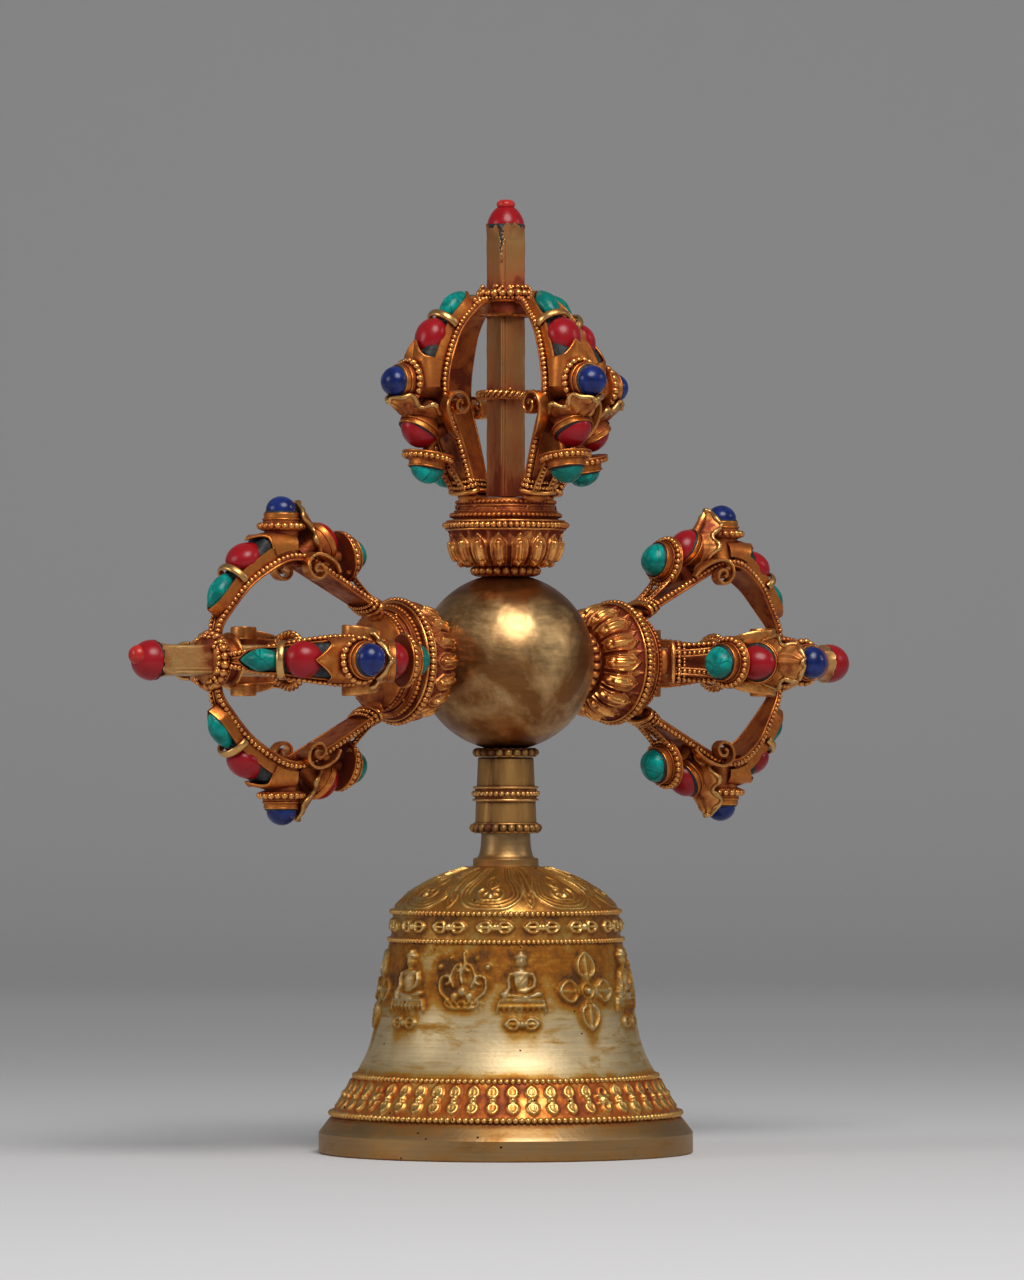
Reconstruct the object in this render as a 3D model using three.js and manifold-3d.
// A ritual hand bell. Its handle is half of a crossed thunderbolt sceptre: three four-pronged arms on a
// hollow ball, set with coral, turquoise and lapis. A clapper hangs inside on a staple and a loose link.
// Millimetres, +Z up. The rim stands on z = 0 and the axis of the bell is x = y = 0.
import * as THREE from "three";
import { mergeVertices } from "three/addons/utils/BufferGeometryUtils.js";
import Module from "manifold-3d";

const wasm = await Module();
wasm.setup();

// Driving dimensions
const FIT_GAP = 0.3;
const QUARTER_TURN = Math.PI / 2;

const BELL_SIDES = 32;
const BELL_BORE_RADIUS = 2.0;
const NECK_TOP_Z = 76.6;

const BALL_CENTRE_Z = 117.6;
const BALL_RADIUS = 21.2;
const BALL_WALL = 1.2;
const BALL_HOLE_RADIUS = 6.5;

const ROD_RADIUS = 2.0;
const ROD_BORE_RADIUS = 2.4;
const ROD_REACH = 33.0;
const ROD_FOOT_Z = 78.0;

const SPIKE_SIDE = 7.35;
const SPIKE_WALL = 0.7;
const SPIKE_FOOT = 39.7;
const SPIKE_TOP = 103.5;

const LAPIS_ALONG = 66.5;
const PRONG_FOOT_ALONG = 40.0;
const PRONG_TIP_ALONG = 86.0;

const STAPLE = { ringZ: 59.0, ringRadius: 3.0, wire: 0.8, shankRadius: 1.6, shankTopZ: 76.2 };
const LINK = { ringZ: 54.1, ringRadius: 3.6, wire: 0.7 };
const CLAPPER_EYE = { ringZ: 49.6, ringRadius: 2.6, wire: 0.8 };

const BELL_METAL = { color: 0xb89a5e, roughness: 0.38, metalness: 1.0 };
const GILT_COPPER = { color: 0xd98a3a, roughness: 0.34, metalness: 1.0 };
const BRUSHED_BRASS = { color: 0xc9a04c, roughness: 0.42, metalness: 1.0 };
const IRON = { color: 0x4a4642, roughness: 0.7, metalness: 1.0 };
const CORAL = { color: 0xb5172b, roughness: 0.3, metalness: 0.0 };
const LAPIS = { color: 0x1f3688, roughness: 0.25, metalness: 0.0 };

// A closed body from a three.js geometry: shared corners joined, slivers dropped, faces turned outwards.
function solid(geometry) {
  const bare = geometry.index ? geometry.toNonIndexed() : geometry.clone();
  bare.deleteAttribute("normal");
  bare.deleteAttribute("uv");
  const merged = mergeVertices(bare, 1e-4);
  const corners = merged.attributes.position.array;
  const index = merged.index.array;
  const corner = (i) => new THREE.Vector3().fromArray(corners, 3 * i);
  const faces = [];
  let volume = 0;
  for (let i = 0; i < index.length; i += 3) {
    const [a, b, c] = [index[i], index[i + 1], index[i + 2]];
    if (a === b || b === c || c === a) continue;
    faces.push([a, b, c]);
    volume += corner(a).dot(corner(b).cross(corner(c)));
  }
  const outward = volume > 0 ? faces : faces.map(([a, b, c]) => [a, c, b]);
  const triVerts = Uint32Array.from(outward.flat());
  return new wasm.Manifold(new wasm.Mesh({ numProp: 3, vertProperties: corners, triVerts }));
}

function joined(solids) {
  return solids.reduce((whole, piece) => whole.add(piece));
}

// A profile of [radius, height] corners turned once round +Z. It starts and ends on the axis.
function turned(profile, sides) {
  const geometry = new THREE.LatheGeometry(profile.map(([radius, z]) => new THREE.Vector2(radius, z)), sides);
  return geometry.rotateX(QUARTER_TURN);
}

// The same for a profile that stands off the axis all round, such as a ring or a bored disc.
function turnedRing(profile, sides) {
  return turned([...profile, profile[0]], sides);
}

// Cross-sections of equal corner counts, skinned one to the next and capped flat at both ends.
function lofted(sections) {
  const count = sections[0].length;
  const triangles = [];
  const push = (...points) => points.forEach((point) => triangles.push(point.x, point.y, point.z));
  for (let s = 0; s + 1 < sections.length; s += 1) {
    for (let i = 0; i < count; i += 1) {
      const next = (i + 1) % count;
      const [a, b] = [sections[s][i], sections[s][next]];
      const [c, d] = [sections[s + 1][next], sections[s + 1][i]];
      push(a, b, c);
      push(a, c, d);
    }
  }
  const [first, last] = [sections[0], sections.at(-1)];
  for (let i = 1; i + 1 < count; i += 1) {
    push(first[0], first[i + 1], first[i]);
    push(last[0], last[i], last[i + 1]);
  }
  const geometry = new THREE.BufferGeometry();
  geometry.setAttribute("position", new THREE.Float32BufferAttribute(triangles, 3));
  return geometry;
}

// Turns a geometry's +Z to a direction and sets its origin on a point.
function aimed(geometry, point, direction) {
  const turn = new THREE.Quaternion().setFromUnitVectors(new THREE.Vector3(0, 0, 1), direction);
  return geometry.applyQuaternion(turn).translate(point.x, point.y, point.z);
}

function piece(name, shape, finish) {
  const mesh = shape.getMesh();
  const geometry = new THREE.BufferGeometry();
  geometry.setAttribute("position", new THREE.BufferAttribute(mesh.vertProperties, 3));
  geometry.setIndex(new THREE.BufferAttribute(mesh.triVerts, 1));
  geometry.computeVertexNormals();
  const made = new THREE.Mesh(geometry, new THREE.MeshStandardMaterial(finish));
  made.name = name;
  return made;
}

// The cast bell: lip, beaded flare, wall, domed crown and the short neck that carries the handle.
const BELL_OUTSIDE = [
  [44.9, 0], [44.9, 5.3], [42.4, 8.2], [42.7, 9.4], [41.2, 10.4], [37.0, 17.3], [36.9, 18.5], [35.0, 19.7],
  [33.4, 24.0], [31.9, 28.8], [31.2, 34.1], [29.6, 42.0], [28.1, 49.9], [28.6, 51.1], [27.4, 52.2],
  [27.1, 56.8], [28.0, 57.8], [26.6, 58.7], [23.9, 61.4], [19.9, 64.3], [17.2, 65.8], [8.8, 68.6],
  [7.9, 68.7], [7.7, 70.5], [6.4, 70.7], [5.9, NECK_TOP_Z],
];
const BELL_INSIDE = [
  [BELL_BORE_RADIUS, NECK_TOP_Z], [BELL_BORE_RADIUS, 65.0], [8.0, 64.5], [18.0, 61.0], [23.5, 55.5],
  [25.0, 50.0], [28.5, 32.0], [30.5, 22.0], [34.0, 14.0], [38.0, 6.0], [40.0, 0],
];

// The main raised ornament of the bell, as low plates cast in one with it: [across, up] outlines from each
// one's foot. The belt on the wall repeats three times round: a seated figure over a small sceptre, a
// crossed sceptre, a second figure, and a jewel spray. Angles are degrees on from the bell's front.
const FRONT_AZIMUTH = -127.5;
const BELT_REPEATS = 3;
const BELT_FOOT = { radius: 31.2, z: 34.1 };
const BELT_TOP = { radius: 28.1, z: 49.9 };
const PLATE_SINK = 1.2;
const PLATE_RISE = 0.8;
const FIGURE = [[5.8, 0], [5.3, 2.9], [4.3, 3.3], [4.1, 4.9], [3.3, 5.4], [3.1, 8.9], [1.4, 10.3], [1.6, 12.4],
  [0, 14.5]];
const JEWEL_SPRAY = [[3.6, 0.2], [5.9, 4.4], [5.8, 8.2], [3.2, 9.4], [0, 13.6]];
const SMALL_SCEPTRE = [[0, -0.8], [2.7, -1.3], [4.0, 0], [2.7, 1.3], [0, 0.8]];
const CROSSED_SCEPTRE = [[0, -9.3], [2.5, -6.0], [1.6, -1.6], [5.4, -2.4], [8.1, 0], [5.4, 2.4], [1.6, 1.6],
  [2.5, 6.0], [0, 9.3]];
const BELT = [
  { outline: FIGURE, foot: 34.6, angles: [7, 70] },
  { outline: SMALL_SCEPTRE, foot: 31.8, angles: [7, 70] },
  { outline: CROSSED_SCEPTRE, foot: 39.4, angles: [40] },
  { outline: JEWEL_SPRAY, foot: 34.9, angles: [100] },
];

// A plate on the wall: the right half of its outline is mirrored, and it leans with the wall.
function wallPlate(outline, footZ, degrees) {
  const mirrored = outline.filter(([across]) => across > 0).reverse().map(([across, up]) => [-across, up]);
  const shape = new THREE.Shape([...outline, ...mirrored].map(([across, up]) => new THREE.Vector2(across, up)));
  const depth = PLATE_SINK + PLATE_RISE;
  const plate = new THREE.ExtrudeGeometry(shape, { depth, bevelEnabled: false }).translate(0, 0, -PLATE_SINK);
  const lean = Math.atan2(BELT_FOOT.radius - BELT_TOP.radius, BELT_TOP.z - BELT_FOOT.z);
  const radius = BELT_FOOT.radius - (footZ - BELT_FOOT.z) * Math.tan(lean);
  plate.rotateX(QUARTER_TURN).rotateZ(QUARTER_TURN);
  return plate.rotateY(-lean).translate(radius, 0, footZ).rotateZ(THREE.MathUtils.degToRad(degrees));
}

function makeBell() {
  const casting = solid(turnedRing([...BELL_OUTSIDE, ...BELL_INSIDE], BELL_SIDES));
  const plates = [];
  for (let repeat = 0; repeat < BELT_REPEATS; repeat += 1) {
    const ahead = FRONT_AZIMUTH + (360 / BELT_REPEATS) * repeat;
    BELT.forEach(({ outline, foot, angles }) => {
      angles.forEach((angle) => plates.push(solid(wallPlate(outline, foot, ahead + angle))));
    });
  }
  return piece("bell", joined([casting, ...plates]), BELL_METAL);
}

// The clapper's hanging: a staple riveted up through the crown, a loose link, and the clapper's own eye.
function wireRing({ ringRadius, wire, ringZ }, segments) {
  const ring = new THREE.TorusGeometry(ringRadius, wire, 6, segments).rotateX(QUARTER_TURN);
  return ring.translate(0, 0, ringZ);
}

function makeStaple() {
  const shankFoot = STAPLE.ringZ + STAPLE.ringRadius - STAPLE.wire / 2;
  const shank = [[0, shankFoot], [STAPLE.shankRadius, shankFoot], [STAPLE.shankRadius, STAPLE.shankTopZ],
    [0, STAPLE.shankTopZ]];
  return piece("clapper_staple", joined([solid(wireRing(STAPLE, 14)), solid(turned(shank, 8))]), IRON);
}

function makeLink() {
  const ring = wireRing({ ...LINK, ringZ: 0 }, 14).rotateZ(QUARTER_TURN).translate(0, 0, LINK.ringZ);
  return piece("clapper_link", solid(ring), IRON);
}

function makeClapper() {
  const shankTop = CLAPPER_EYE.ringZ - CLAPPER_EYE.ringRadius + CLAPPER_EYE.wire / 2;
  const hammer = [[0, 7.2], [3.2, 7.8], [5.4, 10.2], [6.0, 13.5], [5.2, 17.0], [2.6, 20.5], [1.7, 24.0],
    [1.2, shankTop], [0, shankTop]];
  return piece("clapper", joined([solid(wireRing(CLAPPER_EYE, 12)), solid(turned(hammer, 10))]), IRON);
}

// The neck between bell and ball: a tapered sleeve, a beaded ring at its foot, a band and a beaded collar.
const NECK_PIECES = {
  neck_sleeve: [[ROD_BORE_RADIUS, 76.8], [7.5, 76.8], [6.7, 94.7], [ROD_BORE_RADIUS, 94.7]],
  neck_foot_ring: [[7.75, 76.9], [8.3, 76.9], [8.9, 77.8], [8.3, 78.7], [7.75, 78.7]],
  neck_band: [[7.45, 84.2], [8.1, 84.2], [7.8, 85.0], [8.2, 86.0], [7.8, 87.0], [8.1, 87.8], [7.45, 87.8]],
  neck_collar: [[ROD_BORE_RADIUS, 95.0], [7.4, 95.0], [8.1, 95.9], [7.4, 96.8], [ROD_BORE_RADIUS, 96.8]],
};

// The hollow ball of thin sheet, with a hole for each of the three arms and one for the neck.
function makeBall() {
  const shell = solid(new THREE.SphereGeometry(BALL_RADIUS, 24, 12).rotateX(QUARTER_TURN));
  const hollow = solid(new THREE.SphereGeometry(BALL_RADIUS - BALL_WALL, 16, 8).rotateX(QUARTER_TURN));
  const holeLength = 2 * BALL_RADIUS + 4;
  const hole = new THREE.CylinderGeometry(BALL_HOLE_RADIUS, BALL_HOLE_RADIUS, holeLength, 12);
  const upright = solid(hole.clone().rotateX(QUARTER_TURN));
  const across = solid(hole.clone().rotateZ(QUARTER_TURN));
  const ball = piece("ball", shell.subtract(hollow).subtract(upright).subtract(across), BRUSHED_BRASS);
  ball.position.z = BALL_CENTRE_Z;
  return ball;
}

// The forged cross of iron rod inside the ball, which holds the neck and the three arms together.
function makeCrossRod() {
  const uprightLength = BALL_CENTRE_Z + ROD_REACH - ROD_FOOT_Z;
  const upright = new THREE.CylinderGeometry(ROD_RADIUS, ROD_RADIUS, uprightLength, 8);
  upright.rotateX(QUARTER_TURN).translate(0, 0, ROD_FOOT_Z + uprightLength / 2);
  const across = new THREE.CylinderGeometry(ROD_RADIUS, ROD_RADIUS, 2 * ROD_REACH, 8);
  across.rotateZ(QUARTER_TURN).translate(0, 0, BALL_CENTRE_Z);
  return piece("cross_rod", joined([solid(upright), solid(across)]), IRON);
}

// The turned pieces of one arm, from the ball outwards. Heights are distances from the ball's centre.
const ARM_TURNED = [
  { name: "base_ring", sides: 12, finish: GILT_COPPER,
    bored: true, profile: [[6.2, 20.5], [8.0, 20.5], [8.6, 21.9], [8.0, 23.2]] },
  { name: "lotus_cup", sides: 16, finish: GILT_COPPER, bored: true,
    profile: [[8.6, 23.5], [11.0, 24.5], [12.5, 26.0], [13.4, 28.2], [13.2, 30.2], [14.2, 31.7]] },
  { name: "lotus_rim_ring", sides: 16, finish: GILT_COPPER, bored: true,
    profile: [[14.4, 32.0], [15.4, 32.9], [14.8, 33.9], [12.9, 34.2]] },
  { name: "deck", sides: 16, finish: GILT_COPPER, bored: false,
    profile: [[13.0, 34.5], [13.6, 35.3], [12.2, 36.3], [12.2, 39.4]] },
];
const SPIKE_RINGS = [
  { name: "spike_ring", profile: [[5.6, 63.1], [6.7, 63.1], [7.1, 64.0], [6.7, 64.9], [5.6, 64.9]] },
  { name: "tip_ring",
    profile: [[5.6, 82.6], [6.3, 82.6], [6.6, 83.2], [6.1, 83.8], [6.1, 86.2], [6.6, 86.8], [7.1, 88.4],
      [6.5, 89.9], [5.6, 89.9]] },
];
const CORAL_DOME = [[0, 103.8], [4.4, 103.8], [4.7, 104.9], [4.3, 106.8], [3.2, 108.4], [1.8, 109.2]];
const CAP_ENDS = {
  top: [[2.2, 109.9], [1.4, 110.9], [0, 110.9]],
  right: [[0.9, 109.5], [0, 109.5]],
  left: [[2.0, 109.6], [1.4, 110.4], [0, 110.6]],
};

// The arms were raised by hand: on the side arms all that lies beyond the lapis sits `shorter` nearer the
// ball, and on the top arm the prongs bow outwards less, by `squeeze` at the middle of their length.
function fitAlong(along, { shorter }) {
  const share = THREE.MathUtils.clamp((along - LAPIS_ALONG) / (82 - LAPIS_ALONG), 0, 1);
  return along - shorter * share;
}

function fitOut(out, along, { squeeze }) {
  const length = PRONG_TIP_ALONG - PRONG_FOOT_ALONG;
  const share = THREE.MathUtils.clamp((along - PRONG_FOOT_ALONG) / length, 0, 1);
  return out - squeeze * Math.sin(Math.PI * share);
}

function armTurnedPiece(arm, { name, sides, finish, bored, profile }) {
  const inner = bored ? ROD_BORE_RADIUS : 0;
  const ends = [[inner, profile[0][1]], ...profile, [inner, profile.at(-1)[1]]];
  const geometry = bored ? turnedRing(ends, sides) : turned(ends, sides);
  return piece(`${arm}_${name}`, solid(geometry), finish);
}

// The square spike of folded sheet that stands in the middle of the four prongs.
function makeSpike(arm) {
  const top = fitAlong(SPIKE_TOP, arm);
  const square = (Shape, side) => {
    const half = side / 2;
    return new Shape([[-half, -half], [half, -half], [half, half], [-half, half]]
      .map(([x, y]) => new THREE.Vector2(x, y)));
  };
  const section = square(THREE.Shape, SPIKE_SIDE);
  section.holes.push(square(THREE.Path, SPIKE_SIDE - 2 * SPIKE_WALL));
  const tube = new THREE.ExtrudeGeometry(section, { depth: top - SPIKE_FOOT, bevelEnabled: false });
  return piece(`${arm.name}_spike`, solid(tube.translate(0, 0, SPIKE_FOOT)), GILT_COPPER);
}

// One prong, drawn in its own plane: x is the distance from the spike's axis, z runs along the arm and y
// across the prong. Its strap follows these stations, from the deck to the ring near the spike's tip.
const STRAP_STATIONS = [
  { along: 40.0, out: 12.4, halfWidth: 4.2 }, { along: 46.0, out: 15.5, halfWidth: 4.6 },
  { along: 53.5, out: 19.5, halfWidth: 5.1 }, { along: 61.0, out: 23.4, halfWidth: 5.6 },
  { along: 64.5, out: 24.3, halfWidth: 5.8 }, { along: 68.0, out: 24.1, halfWidth: 5.8 },
  { along: 71.5, out: 22.9, halfWidth: 5.5 }, { along: 75.5, out: 20.7, halfWidth: 4.9 },
  { along: 79.0, out: 18.2, halfWidth: 4.2 }, { along: 82.0, out: 15.0, halfWidth: 3.4 },
  { along: 84.2, out: 11.9, halfWidth: 2.7 }, { along: 85.7, out: 9.7, halfWidth: 2.2 },
  { along: 86.5, out: 7.8, halfWidth: 1.9 },
];
const STRAP_INNER = -1.0;
const STRAP_OUTER = 0.7;

function strapCurveFor(arm) {
  return new THREE.CatmullRomCurve3(STRAP_STATIONS.map(({ along, out, halfWidth }) =>
    new THREE.Vector3(fitOut(out, along, arm), halfWidth, fitAlong(along, arm))));
}

// A cross-section of the prong at a station: each corner is [share of half width, height off the strap].
function prongSection(strapCurve, station, corners) {
  const share = station / (STRAP_STATIONS.length - 1);
  const middle = strapCurve.getPoint(share);
  const tangent = strapCurve.getTangent(share).setY(0).normalize();
  const outward = new THREE.Vector3(tangent.z, 0, -tangent.x);
  return corners.map(([width, height]) => {
    const corner = new THREE.Vector3(middle.x, width * middle.y, middle.z);
    return corner.addScaledVector(outward, height);
  });
}

// The trough of set stones on the upper half: saddle, coral, gold band and turquoise drop, with the
// width of the trough and the heights of its shoulder and of the stones at each station.
const STONE_TROUGH = [
  { station: 5.0, width: 0.96, shoulder: 2.0, top: 4.2 },
  { station: 6.2, width: 0.9, shoulder: 2.8, top: 4.8 },
  { station: 7.1, width: 0.88, shoulder: 3.2, top: 7.2 },
  { station: 7.8, width: 0.88, shoulder: 3.2, top: 5.4 },
  { station: 8.2, width: 0.9, shoulder: 3.2, top: 5.8 },
  { station: 9.0, width: 0.85, shoulder: 3.2, top: 5.8 },
  { station: 10.0, width: 0.7, shoulder: 3.4, top: 4.8 },
  { station: 10.7, width: 0.35, shoulder: 3.4, top: 4.0 },
];

const STONE_CREST_SHARE = 0.6;

// Turned settings: the lapis boss, the oval coral of the lower half and the turquoise with its beaded plate.
const BOSS = { along: LAPIS_ALONG, out: 23.5, lean: 0,
  profile: [[0, 0], [3.9, 0], [3.9, 6.9], [6.2, 7.6], [6.2, 8.9], [4.2, 9.6], [4.2, 11.1], [0, 11.1]] };
const LOWER_CORAL = { along: 55.8, out: 27.8, lean: 60,
  profile: [[0, 0], [4.9, 0], [4.9, 2.2], [4.1, 3.1], [2.7, 4.3], [0, 4.9]] };
const TURQUOISE_PLATE = { along: 49.8, out: 24.5, lean: 80,
  profile: [[0, 0], [6.1, 0], [6.1, 1.9], [4.6, 2.2], [4.4, 4.6], [3.2, 6.6], [0, 7.4]] };
const LAPIS_STONE = [[0, 0], [3.4, 0], [3.65, 0.9], [3.1, 2.4], [1.8, 3.4], [0, 3.7]];

// The web that backs the two lower stones and the ribbon scroll at each edge are [out, along] outlines;
// the upright leaf behind the boss is a stack of slices.
const WEB = { inner: -3.4, outer: 3.4,
  outline: [[17.0, 49.0], [23.8, 49.6], [24.6, 53.6], [31.2, 57.9], [31.0, 60.2], [23.0, 61.0]] };
const SCROLL = { inner: 4.9, outer: 9.2,
  outline: [[22.0, 54.5], [24.6, 54.5], [25.0, 61.5], [22.4, 63.6], [19.4, 63.0], [18.9, 60.2],
    [22.0, 59.0]] };
const LEAF_SLICES = [
  { out: 23.2, along: 59.0, thick: 2.4, halfWidth: 3.6 },
  { out: 29.0, along: 59.2, thick: 1.6, halfWidth: 5.0 },
  { out: 33.6, along: 60.2, thick: 1.4, halfWidth: 4.6 },
  { out: 36.8, along: 61.4, thick: 1.2, halfWidth: 2.4 },
];

function settingSolid(arm, { along, out, lean, profile }) {
  const angle = THREE.MathUtils.degToRad(lean);
  const direction = new THREE.Vector3(Math.cos(angle), 0, -Math.sin(angle));
  const foot = new THREE.Vector3(fitOut(out, along, arm), 0, along);
  return solid(aimed(turned(profile, 8), foot, direction));
}

function outlineSolid(arm, { outline, inner, outer }) {
  const shape = new THREE.Shape(outline.map(([out, along]) =>
    new THREE.Vector2(fitOut(out, along, arm), along)));
  const plate = new THREE.ExtrudeGeometry(shape, { depth: outer - inner, bevelEnabled: false });
  return solid(plate.rotateX(QUARTER_TURN).translate(0, outer, 0));
}

function leafSolid(arm) {
  const slices = LEAF_SLICES.map(({ out, along, thick, halfWidth }) => {
    const x = fitOut(out, along, arm);
    return [[-halfWidth, 0], [halfWidth, 0], [halfWidth, thick], [-halfWidth, thick]]
      .map(([y, back]) => new THREE.Vector3(x, y, along + back));
  });
  return solid(lofted(slices));
}

function makeProngSolid(arm) {
  const curve = strapCurveFor(arm);
  const flat = [[-1, STRAP_INNER], [1, STRAP_INNER], [1, STRAP_OUTER], [-1, STRAP_OUTER]];
  const strap = lofted(STRAP_STATIONS.map((_, station) => prongSection(curve, station, flat)));
  const trough = lofted(STONE_TROUGH.map(({ station, width, shoulder, top }) => {
    const crest = STONE_CREST_SHARE * width;
    const arch = [[-width, 0], [width, 0], [width, shoulder], [crest, top], [-crest, top],
      [-width, shoulder]];
    return prongSection(curve, station, arch);
  }));
  const scrolls = [SCROLL, { ...SCROLL, inner: -SCROLL.outer, outer: -SCROLL.inner }];
  return joined([solid(strap), solid(trough), settingSolid(arm, BOSS), settingSolid(arm, LOWER_CORAL),
    settingSolid(arm, TURQUOISE_PLATE), outlineSolid(arm, WEB), leafSolid(arm),
    ...scrolls.map((scroll) => outlineSolid(arm, scroll))]);
}

// The lapis is a separate stone, dropped into the cup on top of the boss.
function makeLapisSolid(arm) {
  const cupTop = fitOut(BOSS.out, BOSS.along, arm) + BOSS.profile.at(-1)[1];
  const seat = new THREE.Vector3(cupTop + FIT_GAP, 0, LAPIS_ALONG);
  return solid(aimed(turned(LAPIS_STONE, 8), seat, new THREE.Vector3(1, 0, 0)));
}

// The three arms. Prongs are named by the way they point; each is a quarter turn from the one before.
const ARMS = [
  { name: "top", turn: 0, shorter: 0, squeeze: 2.2,
    prongs: ["right", "back", "left", "front"] },
  { name: "right", turn: QUARTER_TURN, shorter: 3.0, squeeze: 0,
    prongs: ["lower", "back", "upper", "front"] },
  { name: "left", turn: -QUARTER_TURN, shorter: 1.2, squeeze: 0,
    prongs: ["upper", "back", "lower", "front"] },
];

function makeArm(arm) {
  const group = new THREE.Group();
  const fitted = (profile) => profile.map(([radius, along]) => [radius, fitAlong(along, arm)]);
  ARM_TURNED.forEach((part) => group.add(armTurnedPiece(arm.name, part)));
  group.add(makeSpike(arm));
  SPIKE_RINGS.forEach(({ name, profile }) => {
    group.add(piece(`${arm.name}_${name}`, solid(turnedRing(fitted(profile), 12)), GILT_COPPER));
  });
  const cap = [...CORAL_DOME, ...CAP_ENDS[arm.name]];
  group.add(piece(`${arm.name}_coral_cap`, solid(turned(fitted(cap), 12)), CORAL));
  const prongSolid = makeProngSolid(arm);
  const lapisSolid = makeLapisSolid(arm);
  arm.prongs.forEach((side, quarter) => {
    const prong = new THREE.Group();
    prong.add(piece(`${arm.name}_prong_${side}`, prongSolid, GILT_COPPER));
    prong.add(piece(`${arm.name}_lapis_${side}`, lapisSolid, LAPIS));
    prong.rotation.z = quarter * QUARTER_TURN;
    group.add(prong);
  });
  group.position.z = BALL_CENTRE_Z;
  group.rotation.y = arm.turn;
  return group;
}

const ritualBell = new THREE.Group();
ritualBell.add(makeBell(), makeStaple(), makeLink(), makeClapper());
Object.entries(NECK_PIECES).forEach(([name, profile]) => {
  ritualBell.add(piece(name, solid(turnedRing(profile, 16)), GILT_COPPER));
});
ritualBell.add(makeBall(), makeCrossRod());
ARMS.forEach((arm) => ritualBell.add(makeArm(arm)));

export default ritualBell;
